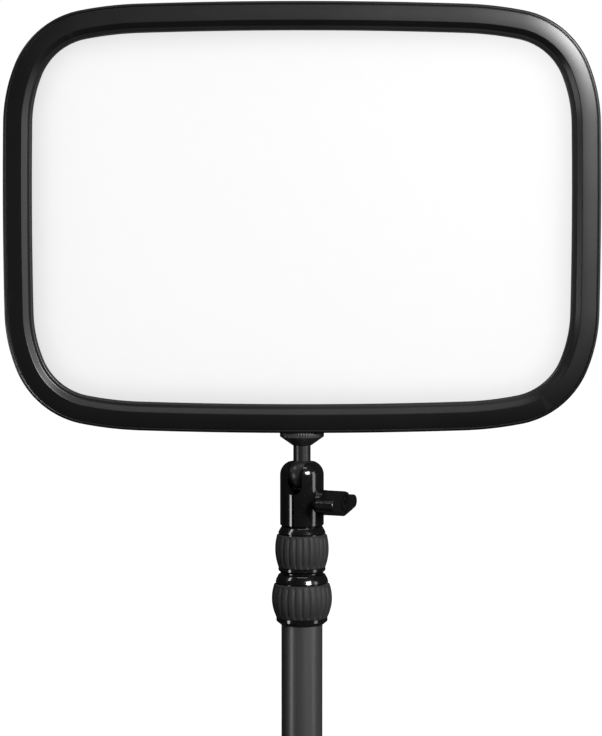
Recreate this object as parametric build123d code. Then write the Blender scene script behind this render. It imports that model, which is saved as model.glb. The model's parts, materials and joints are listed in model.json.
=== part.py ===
from build123d import *
import math
import os

# An LED panel light on a telescopic pole with a desk clamp, in millimetres.
# The origin is on the desk top, on the pole's axis, under the clamp's upper pad.
# +Z is up, and the lit face looks towards -Y. The pole is closed and the panel upright.

# ---------------------------------------------------------------- driving sizes
PANEL_HALF_WIDTH = 175.0
PANEL_HALF_HEIGHT = 126.3
PANEL_DEPTH = 30.0
OPENING_INSET = 17.15          # from the frame's outer edge to the lit opening
LOCK_BASE = 436.0              # height of the lower twist lock's bottom edge
POLE_TRAVEL = 350.0            # how far each pole section slides out
HEAD_TURN = -25.0              # how far the ball head is turned on the pole, in degrees
DESK_GAP = 60.0                # the thickest desk that the clamp takes

# Outline of the panel, a quarter of it: five tangent arcs from the middle of a side
# to the middle of the top. The two long shallow arcs get their radii from the closure.
SIDE_SWEEP = 1.05
SIDE_SHOULDER = (94.0, 21.3)
CORNER = (52.0, 56.5)
TOP_SHOULDER = (212.0, 9.3)

# Depths in the panel, along Y, from the front face to the back
FRONT = -PANEL_DEPTH / 2
BACK = PANEL_DEPTH / 2
LIP_FRONT = FRONT + 2.2
DIFFUSER_FRONT = FRONT + 3.6
DIFFUSER_BACK = DIFFUSER_FRONT + 2.0
BOARD_FRONT = -1.0
BOARD_BACK = 0.6
SPREADER_BACK = 2.2
DRIVER_FRONT = 5.2
DRIVER_BACK = 6.8
SPLIT = -3.0                   # where the front frame meets the back cover
COVER_WALL = 2.2
COVER_INSIDE = BACK - COVER_WALL
FRAME_WALL = 2.5

# Tubes of the pole
BASE_TUBE_RADIUS = 12.25
BASE_TUBE_BORE = 10.75
MID_TUBE_RADIUS = 10.25
MID_TUBE_BORE = 8.95
TOP_TUBE_RADIUS = 8.5
TOP_TUBE_BORE = 7.2
RUN = 0.05                     # radial clearance of every sliding and turning fit

# Ball head
HOUSING_RADIUS = 13.0
HOUSING_BOTTOM = LOCK_BASE + 59.0
HOUSING_TOP = LOCK_BASE + 97.9
BALL_HEIGHT = LOCK_BASE + 90.0
BALL_RADIUS = 9.5
STEM_RADIUS = 5.15
SLOT_HALF_WIDTH = 5.4
SLOT_BOTTOM = LOCK_BASE + 78.5
KNOB_HEIGHT = LOCK_BASE + 73.5
SCREW_RADIUS = 2.5
STUD_RADIUS = 3.1
DISC_BOTTOM = LOCK_BASE + 107.1
DISC_RADIUS = 13.1
PANEL_BOTTOM = LOCK_BASE + 115.4
PANEL_CENTRE = PANEL_BOTTOM + PANEL_HALF_HEIGHT

# Desk clamp
JAW_HALF_WIDTH = 23.0
JAW_PAD = 2.5
UPPER_JAW_TOP = 16.5
SPINE_INSIDE = 38.0
SPINE_OUTSIDE = 53.0
JAW_FRONT = -26.0
LOWER_JAW_TOP = -DESK_GAP - 18.0
LOWER_JAW_BOTTOM = LOWER_JAW_TOP - 14.0
CLAMP_BOSS_BOTTOM = LOWER_JAW_BOTTOM - 5.0
CLAMP_SCREW_RADIUS = 5.95
CLAMP_TRAVEL = 55.0
HANDLE_TOP = CLAMP_BOSS_BOTTOM - CLAMP_TRAVEL - 2.0
FOOT_BOTTOM = UPPER_JAW_TOP

pieces = {}


# ---------------------------------------------------------------- helpers
def turned(points, centre=(0, 0)):
    """A solid of revolution about a vertical line. points are (radius, height)."""
    face = Plane.XZ * make_face(Polyline(*points, close=True))
    return Pos(centre[0], centre[1], 0) * revolve(face, Axis.Z, 360)


def ring(outer, inner, low, high):
    """A plain upright sleeve."""
    return turned([(inner, low), (outer, low), (outer, high), (inner, high)])


def rod(radius, low, high, x=0.0, y=0.0):
    """A plain upright cylinder."""
    return Pos(x, y, (low + high) / 2) * Cylinder(radius, high - low)


def block(x0, x1, y0, y1, z0, z1):
    """A box from its six limits."""
    return Pos((x0 + x1) / 2, (y0 + y1) / 2, (z0 + z1) / 2) * Box(x1 - x0, y1 - y0, z1 - z0)


def back_rod(radius, y0, y1, x, z):
    """A cylinder along Y, placed by its x and z."""
    return Pos(x, (y0 + y1) / 2, z) * Rot(90, 0, 0) * Cylinder(radius, y1 - y0)


def outline_arcs():
    """(radius, sweep in degrees) of the five arcs in a quarter of the panel's outline."""
    known = [SIDE_SHOULDER, CORNER, TOP_SHOULDER]
    top_sweep = 90 - SIDE_SWEEP - sum(sweep for _, sweep in known)
    across = PANEL_HALF_WIDTH
    along = PANEL_HALF_HEIGHT
    angle = math.radians(SIDE_SWEEP)
    for radius, sweep in known:
        end = angle + math.radians(sweep)
        across += radius * (math.cos(end) - math.cos(angle))
        along -= radius * (math.sin(end) - math.sin(angle))
        angle = end
    first = math.radians(SIDE_SWEEP)
    a, b = 1 - math.cos(first), math.cos(angle)
    c, d = math.sin(first), 1 - math.sin(angle)
    scale = a * d - b * c
    side_radius = (across * d - b * along) / scale
    top_radius = (a * along - c * across) / scale
    return [(side_radius, SIDE_SWEEP), *known, (top_radius, top_sweep)]


def outline_wire(inset, y):
    """The panel's outline, moved inwards by inset, as a wire at depth y."""
    quarter = []
    start = Vector(PANEL_HALF_WIDTH - inset, 0)
    heading = Vector(0, 1)
    for radius, sweep in outline_arcs():
        arc = JernArc(start=start, tangent=heading, radius=radius - inset, arc_size=sweep)
        quarter.append(arc)
        start = arc @ 1
        heading = arc % 1
    right = Wire(quarter)
    top = Wire([*right.edges(), *mirror(right, Plane.YZ).edges()])
    closed = Wire([*top.edges(), *mirror(top, Plane.XZ).edges()])
    return Plane((0, y, PANEL_CENTRE), x_dir=(1, 0, 0), z_dir=(0, -1, 0)) * closed


def sheet(inset, y0, y1):
    """A plate with the panel's outline, moved inwards by inset."""
    return extrude(Face(outline_wire(inset, y0)), amount=y1 - y0, dir=(0, 1, 0))


def rim(profile):
    """A frame with the panel's outline. profile is a list of (inset, depth)."""
    corners = [(PANEL_HALF_WIDTH - inset, y, PANEL_CENTRE) for inset, y in profile]
    section = make_face(Polyline(*corners, close=True))
    return sweep(section, path=outline_wire(0, 0), transition=Transition.RIGHT)


def around(inset, count):
    """(x, z) of evenly spaced places on the outline, moved inwards by inset."""
    wire = outline_wire(inset, 0)
    places = [wire.position_at((step + 0.5) / count) for step in range(count)]
    return [(place.X, place.Z) for place in places]


def grid(columns, rows, step_x, step_z):
    """(x, z) of a grid centred on the panel."""
    return [
        ((column - (columns - 1) / 2) * step_x, PANEL_CENTRE + (row - (rows - 1) / 2) * step_z)
        for row in range(rows)
        for column in range(columns)
    ]


def group(solids):
    """Several separate solids as one sub-part."""
    return Compound(children=list(solids))


def back_screw(x, z, head_back, length, radius=1.5, head_radius=2.8, head_depth=1.7):
    """A pan-head screw along Y, driven from the back, with a cross recess."""
    screw = back_rod(head_radius, head_back - head_depth, head_back, x, z)
    screw += back_rod(radius, head_back - head_depth - length, head_back - head_depth, x, z)
    for wide, tall in ((2.6, 0.7), (0.7, 2.6)):
        screw -= block(x - wide / 2, x + wide / 2, head_back - 0.9, head_back + 1,
                       z - tall / 2, z + tall / 2)
    return screw


# ---------------------------------------------------------------- panel
SPREADER_INSET = 7.0
BOARD_INSET = 20.0
FRAME_BOSS_INSET = 10.6
FRAME_BOSS_COUNT = 12
COVER_BOSS_INSET = 27.0
COVER_BOSS_COUNT = 8
MOUNT_RADIUS = 12.0
MOUNT_TOP = PANEL_BOTTOM + 13.0
MOUNT_FRONT = -9.0
DRIVER_CENTRE = PANEL_CENTRE - 38.0
DRIVER_HALF = (52.0, 30.0)
BUTTON_PLACE = (30.0, DRIVER_CENTRE - 12.0)
JACK_PLACE = (-30.0, DRIVER_CENTRE - 12.0)
BUTTON_TRAVEL = 0.6
BUTTON_RADIUS = 4.55
JACK_RADIUS = 4.2
JACK_BORE = 2.75
SCREW_HOLE = 1.6               # radius of a small screw's clearance hole
SCREW_PILOT = 1.25             # radius of the hole that a small screw cuts into
BOLT_HOLE = 2.1                # radius of a mount screw's clearance hole
FIN_COUNT = 12                 # fins on each side of the heat spreader
FIN_START = 66.0
FIN_STEP = 6.5
FIN_HALF_WIDTH = 0.8
FIN_HALF_LENGTH = 62.0
FIN_HEIGHT = 4.0
VENT_COUNT = 9                 # slots in each of the four groups
VENT_START = 62.0
VENT_STEP = 7.0
VENT_ROW = 58.0
VENT_HALF_WIDTH = 1.3
VENT_HALF_LENGTH = 9.0


def front_bezel():
    """The front frame: a sloped band, an inner bevel, a lip over the diffuser and a wall."""
    frame = rim([
        (0.0, SPLIT), (0.0, FRONT + 2.5), (0.45, FRONT + 1.75), (1.3, FRONT + 1.4),
        (1.6, FRONT + 1.75), (2.0, FRONT + 1.75), (2.2, FRONT + 1.2), (11.0, FRONT),
        (11.5, FRONT + 0.15), (14.0, LIP_FRONT - 0.15), (14.4, LIP_FRONT),
        (15.9, LIP_FRONT), (OPENING_INSET, DIFFUSER_FRONT), (FRAME_WALL, DIFFUSER_FRONT),
        (FRAME_WALL, SPLIT),
    ])
    for x, z in around(FRAME_BOSS_INSET, FRAME_BOSS_COUNT):
        boss = back_rod(2 * SCREW_HOLE - 0.2, DIFFUSER_FRONT - 0.3, BOARD_BACK, x, z)
        frame += boss - back_rod(SCREW_PILOT, DIFFUSER_FRONT + 1, BOARD_BACK, x, z)
    notch = rod(MOUNT_RADIUS + 0.2, PANEL_BOTTOM - 1, MOUNT_TOP + 0.2)
    notch &= block(-20, 20, MOUNT_FRONT - 0.2, 20, PANEL_BOTTOM - 1, MOUNT_TOP + 1)
    return frame - notch


def diffuser():
    """The opal sheet behind the frame's lip."""
    return sheet(14.0, DIFFUSER_FRONT, DIFFUSER_BACK)


def reflector_frame():
    """White sloped walls that carry the light from the board to the diffuser."""
    return rim([
        (14.5, DIFFUSER_BACK + 0.05), (17.4, DIFFUSER_BACK + 0.05), (24.5, BOARD_FRONT),
        (22.0, BOARD_FRONT), (16.6, DIFFUSER_BACK + 1.5), (14.5, DIFFUSER_BACK + 1.5),
    ])


LED_COLUMNS = 16
LED_ROWS = 10
LED_STEP_X = 18.0
LED_STEP_Z = 18.6


def led_places(warm):
    """Every second place of the LED grid, like one colour of a chess board."""
    places = grid(LED_COLUMNS, LED_ROWS, LED_STEP_X, LED_STEP_Z)
    return [place for number, place in enumerate(places)
            if (number + number // LED_COLUMNS) % 2 == int(warm)]


def board_screw_places():
    return grid(3, 2, 6 * LED_STEP_X, 6 * LED_STEP_Z)


def led_board():
    """The white board that carries both colours of LED."""
    board = sheet(BOARD_INSET, BOARD_FRONT, BOARD_BACK)
    for x, z in board_screw_places():
        board -= back_rod(SCREW_HOLE, BOARD_FRONT - 1, BOARD_BACK + 1, x, z)
    return board


def leds(warm):
    return group(
        block(x - 1.75, x + 1.75, BOARD_FRONT - 0.8, BOARD_FRONT, z - 1.4, z + 1.4)
        for x, z in led_places(warm)
    )


def heat_spreader():
    """A ribbed plate that carries the board in front and the driver behind."""
    plate = sheet(SPREADER_INSET, BOARD_BACK, SPREADER_BACK)
    for column in range(FIN_COUNT):
        for side in (-1, 1):
            x = side * (FIN_START + column * FIN_STEP)
            plate += block(x - FIN_HALF_WIDTH, x + FIN_HALF_WIDTH, SPREADER_BACK, SPREADER_BACK + FIN_HEIGHT,
                           PANEL_CENTRE - FIN_HALF_LENGTH, PANEL_CENTRE + FIN_HALF_LENGTH)
    small = around(FRAME_BOSS_INSET, FRAME_BOSS_COUNT) + board_screw_places()
    for x, z in small + around(COVER_BOSS_INSET, COVER_BOSS_COUNT):
        plate -= back_rod(SCREW_HOLE, BOARD_BACK - 1, SPREADER_BACK + 1, x, z)
    for x, z in mount_screw_places():
        plate -= back_rod(BOLT_HOLE, BOARD_BACK - 1, SPREADER_BACK + 1, x, z)
    half = MOUNT_RADIUS + 1
    return plate - block(-half, half, BOARD_BACK - 1, SPREADER_BACK + 1, PANEL_BOTTOM, MOUNT_TOP + 0.5)


def board_screws():
    """Screws from the front of the LED board into the heat spreader."""
    return group(
        back_rod(2.8, BOARD_FRONT - 1.5, BOARD_FRONT, x, z)
        + back_rod(1.5, BOARD_FRONT, SPREADER_BACK + 0.8, x, z)
        for x, z in board_screw_places()
    )


def spreader_screws():
    """Screws that hold the heat spreader to the front frame's bosses."""
    return group(back_screw(x, z, SPREADER_BACK + 1.7, 6.0, radius=1.2)
                 for x, z in around(FRAME_BOSS_INSET, FRAME_BOSS_COUNT))


def driver_corners():
    half_x, half_z = DRIVER_HALF
    return [(x, DRIVER_CENTRE + z) for x in (4 - half_x, half_x - 4) for z in (4 - half_z, half_z - 4)]


def driver_standoffs():
    return group(back_rod(2.75, SPREADER_BACK, DRIVER_FRONT, x, z)
                 - back_rod(SCREW_PILOT, SPREADER_BACK - 1, DRIVER_FRONT + 1, x, z)
                 for x, z in driver_corners())


def driver_screws():
    return group(back_screw(x, z, DRIVER_BACK + 1.7, 3.6, radius=1.2) for x, z in driver_corners())


def driver_board():
    half_x, half_z = DRIVER_HALF
    board = block(-half_x, half_x, DRIVER_FRONT, DRIVER_BACK,
                  DRIVER_CENTRE - half_z, DRIVER_CENTRE + half_z)
    for x, z in driver_corners():
        board -= back_rod(1.4, DRIVER_FRONT - 1, DRIVER_BACK + 1, x, z)
    return board


def driver_parts():
    """Chokes, capacitors and chips on the driver board."""
    y = DRIVER_BACK
    z = DRIVER_CENTRE
    parts = [block(x - 5, x + 5, y, y + 4.5, z + 6, z + 16) for x in (-34, -20)]
    parts += [back_rod(3.4, y, y + 5.4, x, z + 18) for x in (-4, 6, 16)]
    parts += [block(24, 34, y, y + 1.2, z + 8, z + 18), block(-12, 12, y, y + 2.6, z - 12, z + 4)]
    parts += [block(x - 1, x + 1, y, y + 0.9, z - 20, z - 18) for x in range(-14, 16, 4)]
    return group(parts)


def mount_block():
    """The metal block that the ball head's stud screws into, bolted to the spreader."""
    boss = rod(MOUNT_RADIUS, PANEL_BOTTOM, MOUNT_TOP)
    boss &= block(-20, 20, MOUNT_FRONT, 20, PANEL_BOTTOM, MOUNT_TOP)
    tab = block(-24, 24, SPREADER_BACK, SPREADER_BACK + 5, MOUNT_TOP - 1, MOUNT_TOP + 26)
    body = boss + tab
    body -= rod(STUD_RADIUS + RUN, PANEL_BOTTOM - 1, PANEL_BOTTOM + 12)
    for x, z in mount_screw_places():
        body -= back_rod(BOLT_HOLE, SPREADER_BACK - 1, SPREADER_BACK + 6, x, z)
    return body


def mount_screw_places():
    return [(x, MOUNT_TOP + z) for x in (-16, 16) for z in (6, 19)]


def mount_screws():
    """Screws that hold the mount block to the heat spreader."""
    return group(back_screw(x, z, SPREADER_BACK + 7.2, 6.4, radius=2.0, head_radius=3.5, head_depth=2.2)
                 for x, z in mount_screw_places())


def back_cover():
    """A shallow dish with tapered sides, vent slots and posts for its screws."""
    cover = rim([
        (0.0, SPLIT), (0.6, SPLIT + 1.5), (7.2, BACK - 4.6), (9.6, BACK - 1.6), (13.5, BACK),
        (30.0, BACK), (30.0, COVER_INSIDE), (13.8, COVER_INSIDE), (11.2, BACK - 3.6),
        (9.2, BACK - 6.2), (3.0, SPLIT + 1.5), (2.6, SPLIT),
    ])
    cover += sheet(29.0, COVER_INSIDE, BACK)
    posts = around(COVER_BOSS_INSET, COVER_BOSS_COUNT)
    for x, z in posts:
        cover += back_rod(3.6, SPREADER_BACK + 0.1, COVER_INSIDE + 0.5, x, z)
    for x, z in posts:
        cover -= back_rod(SCREW_HOLE, SPREADER_BACK - 1, BACK + 1, x, z)
        cover -= back_rod(3.2, BACK - 1.9, BACK + 1, x, z)
    for x, z in vent_places():
        cover -= block(x - VENT_HALF_WIDTH, x + VENT_HALF_WIDTH, COVER_INSIDE - 1, BACK + 1,
                       z - VENT_HALF_LENGTH, z + VENT_HALF_LENGTH)
    cover -= back_rod(BUTTON_RADIUS + RUN, COVER_INSIDE - 1, BACK + 1, *BUTTON_PLACE)
    cover -= back_rod(JACK_RADIUS + 0.1, COVER_INSIDE - 1, BACK + 1, *JACK_PLACE)
    notch = rod(MOUNT_RADIUS + 0.2, PANEL_BOTTOM - 1, MOUNT_TOP + 0.2)
    return cover - notch


def vent_places():
    """Two rows of upright slots, above and below the middle."""
    return [(side * (VENT_START + VENT_STEP * column), PANEL_CENTRE + row)
            for row in (-VENT_ROW, VENT_ROW) for side in (-1, 1) for column in range(VENT_COUNT)]


def cover_screws():
    """Screws from the back, through the cover into the spreader."""
    return group(back_screw(x, z, BACK - 0.2, 12.0) for x, z in around(COVER_BOSS_INSET, COVER_BOSS_COUNT))


def dc_jack():
    """The power inlet: a barrel socket with its centre pin."""
    x, z = JACK_PLACE
    body = back_rod(JACK_RADIUS, DRIVER_BACK, BACK - 0.2, x, z)
    body -= back_rod(JACK_BORE, DRIVER_BACK + 1, BACK + 1, x, z)
    return body + back_rod(1.0, DRIVER_BACK + 0.8, BACK - 1.5, x, z)


def power_button():
    """A round push button held by its flange behind the cover."""
    x, z = BUTTON_PLACE
    button = back_rod(BUTTON_RADIUS, COVER_INSIDE - 0.1, BACK + 0.9, x, z)
    button -= Pos(x, BACK + 9.6, z) * Sphere(9.0)
    return button + back_rod(BUTTON_RADIUS + 1.05, COVER_INSIDE - 1.1, COVER_INSIDE - 0.1, x, z)


def button_switch():
    x, z = BUTTON_PLACE
    body = block(x - 3, x + 3, DRIVER_BACK, DRIVER_BACK + 2.6, z - 3, z + 3)
    return body + back_rod(1.7, DRIVER_BACK + 2.6, COVER_INSIDE - 1.1 - BUTTON_TRAVEL - 0.1, x, z)


def make_panel():
    pieces["front_bezel"] = front_bezel()
    pieces["diffuser"] = diffuser()
    pieces["reflector_frame"] = reflector_frame()
    pieces["led_board"] = led_board()
    pieces["warm_leds"] = leds(True)
    pieces["cool_leds"] = leds(False)
    pieces["board_screws"] = board_screws()
    pieces["heat_spreader"] = heat_spreader()
    pieces["spreader_screws"] = spreader_screws()
    pieces["driver_standoffs"] = driver_standoffs()
    pieces["driver_board"] = driver_board()
    pieces["driver_parts"] = driver_parts()
    pieces["driver_screws"] = driver_screws()
    pieces["mount_block"] = mount_block()
    pieces["mount_screws"] = mount_screws()
    pieces["back_cover"] = back_cover()
    pieces["cover_screws"] = cover_screws()
    pieces["dc_jack"] = dc_jack()
    pieces["power_button"] = power_button()
    pieces["button_switch"] = button_switch()


# ---------------------------------------------------------------- ball head
LIP_ANGLE = 48.0               # half angle of the opening above the ball, from upright
SEAT_RADIUS = 10.6
SEAT_ANGLE = 35.0
SLIT = 1.3
HOUSING_DOME = 8.4
NUT_HALF_FLATS = 4.0
KNOB_WASHER_START = 15.5
KNOB_HUB_START = 16.3
KNOB_HUB_END = 28.0
KNOB_HUB_RADIUS = 7.4
KNOB_BOSS_RADIUS = 7.5
WING_START = 0.6               # from the hub's inner end to the wings
WING_TIP = 14.0                # from the knob's axis to the centre of each rounded wing tip
WING_TIP_RADIUS = 4.0


def on_head(solid):
    """Turns a solid made with the head's slot towards -Y and its knob along +X."""
    return Rot(0, 0, HEAD_TURN) * solid


def side_rod(radius, x0, x1, height=KNOB_HEIGHT):
    """A cylinder along the knob's axis, before the head is turned."""
    return Pos((x0 + x1) / 2, 0, height) * Rot(0, 90, 0) * Cylinder(radius, x1 - x0)


def head_housing():
    """The slotted and slit cup that grips the ball."""
    r, top = HOUSING_RADIUS, HOUSING_TOP
    section = [
        Polyline((0, HOUSING_BOTTOM), (r - 1, HOUSING_BOTTOM), (r, HOUSING_BOTTOM + 1),
                 (r, top - HOUSING_DOME)),
        JernArc(start=(r, top - HOUSING_DOME), tangent=(0, 1), radius=HOUSING_DOME, arc_size=90),
        Polyline((r - HOUSING_DOME, top), (0, top), (0, HOUSING_BOTTOM)),
    ]
    body = revolve(Plane.XZ * make_face(section), Axis.Z, 360)
    body += side_rod(KNOB_BOSS_RADIUS, r / 2, KNOB_WASHER_START)
    body -= Pos(0, 0, BALL_HEIGHT) * Sphere(BALL_RADIUS + RUN)
    low = Pos(0, 0, BALL_HEIGHT) * Sphere(SEAT_RADIUS + 0.15)
    body -= low & block(-r, r, -r, r, HOUSING_BOTTOM, BALL_HEIGHT - 2.5)
    reach = 20.0
    spread = reach * math.tan(math.radians(LIP_ANGLE))
    body -= turned([(0, BALL_HEIGHT), (spread, BALL_HEIGHT + reach), (0, BALL_HEIGHT + reach)])
    body -= block(-SLOT_HALF_WIDTH, SLOT_HALF_WIDTH, -30, 0, SLOT_BOTTOM + SLOT_HALF_WIDTH, top + 1)
    floor = Pos(0, -15, SLOT_BOTTOM + SLOT_HALF_WIDTH) * Rot(90, 0, 0) * Cylinder(SLOT_HALF_WIDTH, 30)
    body -= floor
    body -= block(-SLIT / 2, SLIT / 2, -30, -STUD_RADIUS - 2, HOUSING_BOTTOM - 1, SLOT_BOTTOM + 1)
    body -= block(-SLIT / 2, SLIT / 2, -30, 3, KNOB_HEIGHT - 4, SLOT_BOTTOM + 1)
    body -= rod(STUD_RADIUS, HOUSING_BOTTOM - 1, HOUSING_BOTTOM + 8.5)
    body -= side_rod(SCREW_RADIUS + RUN, -r - 1, KNOB_WASHER_START + 1)
    pocket = Pos(-r - 2, 0, KNOB_HEIGHT) * Rot(0, 90, 0) * extrude(
        RegularPolygon(NUT_HALF_FLATS + 0.1, 6, major_radius=False), amount=7.0)
    return on_head(body - pocket)


def knob_nut():
    """The hexagon nut that the knob's screw pulls on."""
    blank = extrude(RegularPolygon(NUT_HALF_FLATS, 6, major_radius=False), amount=4.0)
    nut = Pos(-HOUSING_RADIUS + 1, 0, KNOB_HEIGHT) * Rot(0, 90, 0) * blank
    return on_head(nut - side_rod(SCREW_RADIUS + RUN, -HOUSING_RADIUS - 1, 0))


def knob_washer():
    """The washer between the housing's boss and the knob."""
    return on_head(side_rod(6.4, KNOB_WASHER_START, KNOB_HUB_START)
                   - side_rod(SCREW_RADIUS + RUN, KNOB_WASHER_START - 1, KNOB_HUB_START + 1))


def knob_screw():
    """The screw that is fixed in the wing knob and closes the housing's slit."""
    return on_head(side_rod(SCREW_RADIUS, -11.5, KNOB_HUB_START + 7))


def wing_half():
    """One wing seen along the knob's axis: straight below, scooped above."""
    tip = (WING_TIP, 0)
    hull = make_hull([*Circle(KNOB_HUB_RADIUS).edges(), *(Pos(*tip) * Circle(WING_TIP_RADIUS)).edges()])
    scoop = Pos(WING_TIP - 2.2, WING_TIP_RADIUS + 9.0) * Circle(9.4)
    return (hull - scoop) + Circle(KNOB_HUB_RADIUS)


def wing_knob():
    """A wing knob: a round hub, two scooped wings and a ringed end."""
    high = KNOB_HUB_END - KNOB_HUB_START
    wings = wing_half() + Rot(0, 0, 180) * wing_half()
    wings = extrude(wings, amount=high - WING_START)
    wings = fillet(wings.edges().filter_by(GeomType.CIRCLE).group_by(Axis.Z)[-1], 0.8)
    shank = Pos(0, 0, high / 4) * Cylinder(KNOB_HUB_RADIUS, high / 2)
    knob = shank + Pos(0, 0, WING_START) * wings
    knob -= Pos(0, 0, high) * (Cylinder(5.4, 1.6) - Cylinder(4.2, 3))
    knob -= Pos(0, 0, high) * Cylinder(2.2, 1.6)
    knob -= Pos(0, 0, 3.5) * Cylinder(SCREW_RADIUS, 7.02)
    placed = Pos(KNOB_HUB_START, 0, KNOB_HEIGHT) * Rot(0, 90, 0) * Rot(0, 0, 90) * knob
    return on_head(placed)


def ball_seat():
    """A thin cup between the ball and the housing's floor."""
    cup = Sphere(SEAT_RADIUS) - Sphere(BALL_RADIUS + RUN)
    reach = 20.0
    spread = reach * math.tan(math.radians(SEAT_ANGLE))
    cup = Pos(0, 0, BALL_HEIGHT) * cup
    cup &= turned([(0, BALL_HEIGHT), (spread, BALL_HEIGHT - reach), (0, BALL_HEIGHT - reach)])
    return cup - rod(2.0, BALL_HEIGHT - 20, BALL_HEIGHT)


def ball_stud():
    """The ball, its stem and the threaded stud on top, turned from one bar."""
    stud_top = PANEL_BOTTOM + 11.0
    shoulder = DISC_BOTTOM + 0.5
    stud = Pos(0, 0, BALL_HEIGHT) * Sphere(BALL_RADIUS)
    stud += turned([
        (0, BALL_HEIGHT), (STEM_RADIUS, BALL_HEIGHT), (STEM_RADIUS, shoulder),
        (STUD_RADIUS, shoulder), (STUD_RADIUS, stud_top - 0.8), (STUD_RADIUS - 0.8, stud_top),
        (0, stud_top),
    ])
    return stud


DISC_LIFT = 1.27               # thread pitch of the stud: the disc's travel in one turn
RUBBER_TOP = PANEL_BOTTOM - 0.05
RUBBER_BOTTOM = PANEL_BOTTOM - 1.0


def lock_disc():
    """The conical lock nut with its knurled rim."""
    rim_low = LOCK_BASE + 112.0
    deep = DISC_BOTTOM + 0.5 + DISC_LIFT + 0.2
    disc = turned([
        (STEM_RADIUS + 0.08, DISC_BOTTOM), (STEM_RADIUS + 0.5, DISC_BOTTOM),
        (DISC_RADIUS - 0.6, rim_low - 0.4), (DISC_RADIUS, rim_low + 0.1),
        (DISC_RADIUS, PANEL_BOTTOM - 0.4), (DISC_RADIUS - 0.4, PANEL_BOTTOM - 0.05),
        (DISC_RADIUS - 1.4, PANEL_BOTTOM - 0.05), (DISC_RADIUS - 1.4, RUBBER_BOTTOM),
        (STUD_RADIUS + RUN, RUBBER_BOTTOM), (STUD_RADIUS + RUN, deep),
        (STEM_RADIUS + 0.08, deep),
    ])
    teeth = 36
    cutter = Pos(DISC_RADIUS + 0.35, 0, PANEL_BOTTOM) * Cylinder(0.7, 12)
    for tooth in range(teeth):
        disc -= Rot(0, 0, 360 * tooth / teeth) * cutter
    return disc


def rubber_ring():
    """The rubber ring that the lock disc presses against the panel."""
    return ring(DISC_RADIUS - 1.5, STUD_RADIUS + 1.5, RUBBER_BOTTOM, RUBBER_TOP)


def head_spigot():
    """A plug in the top tube with a stud that the head screws onto."""
    plug = rod(TOP_TUBE_BORE, HOUSING_BOTTOM - 22, HOUSING_BOTTOM - 0.1)
    return plug + rod(STUD_RADIUS - 0.02, HOUSING_BOTTOM - 1, HOUSING_BOTTOM + 8)


def make_head():
    pieces["head_housing"] = head_housing()
    pieces["head_spigot"] = head_spigot()
    pieces["knob_nut"] = knob_nut()
    pieces["knob_washer"] = knob_washer()
    pieces["knob_screw"] = knob_screw()
    pieces["wing_knob"] = wing_knob()
    pieces["ball_seat"] = ball_seat()
    pieces["ball_stud"] = ball_stud()
    pieces["rubber_ring"] = rubber_ring()
    pieces["lock_disc"] = lock_disc()


# ---------------------------------------------------------------- pole
GRIP_RIBS = 24
TUBE_KEY = 3.0
BASE_TUBE_BOTTOM = FOOT_BOTTOM + 10.5
BASE_TUBE_TOP = LOCK_BASE + 22.0
MID_TUBE_TOP = LOCK_BASE + 52.0
MID_TUBE_BOTTOM = BASE_TUBE_TOP - POLE_TRAVEL - 48.0
TOP_TUBE_TOP = HOUSING_BOTTOM - 0.1
TOP_TUBE_BOTTOM = MID_TUBE_TOP - POLE_TRAVEL - 43.0


def tube(radius, bore, low, high):
    """A round tube with a shallow key groove down its back."""
    body = ring(radius, bore, low, high)
    half = TUBE_KEY / 2
    return body - block(-half, half, radius - 0.5, radius + 1, low - 1, high + 1)


def guide_bush(radius, bore, tube_radius, tube_bore, low, length):
    """A plastic sleeve on a tube's lower end that slides in the next tube."""
    lip = 2.0
    return turned([
        (tube_bore - 1.2, low - lip), (bore - RUN, low - lip), (bore - RUN, low + length),
        (tube_radius + 0.02, low + length), (tube_radius + 0.02, low), (tube_bore - 1.2, low),
    ])


def grip(base, bottom, bulge, top, low, widest, high):
    """A bulged rubber sleeve with soft upright ribs. Sizes are radii, then heights."""
    section = [
        Polyline((top, high), (top - 0.5, high + 0.3), (base, high + 0.3), (base, low), (bottom, low)),
        Spline((bottom, low), (bulge, widest), (top, high), tangents=[(0.35, 1), (-0.35, 1)]),
    ]
    return revolve(Plane.XZ * make_face(section), Axis.Z, 360)


def ribbed(sleeve, bulge, low, high):
    """Cuts soft upright grooves between the ribs of a grip."""
    cutter = Pos(bulge + 0.5, 0, (low + high) / 2) * Cylinder(1.0, high - low)
    for rib in range(GRIP_RIBS):
        sleeve -= Rot(0, 0, 360 * (rib + 0.5) / GRIP_RIBS) * cutter
    return sleeve


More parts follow.
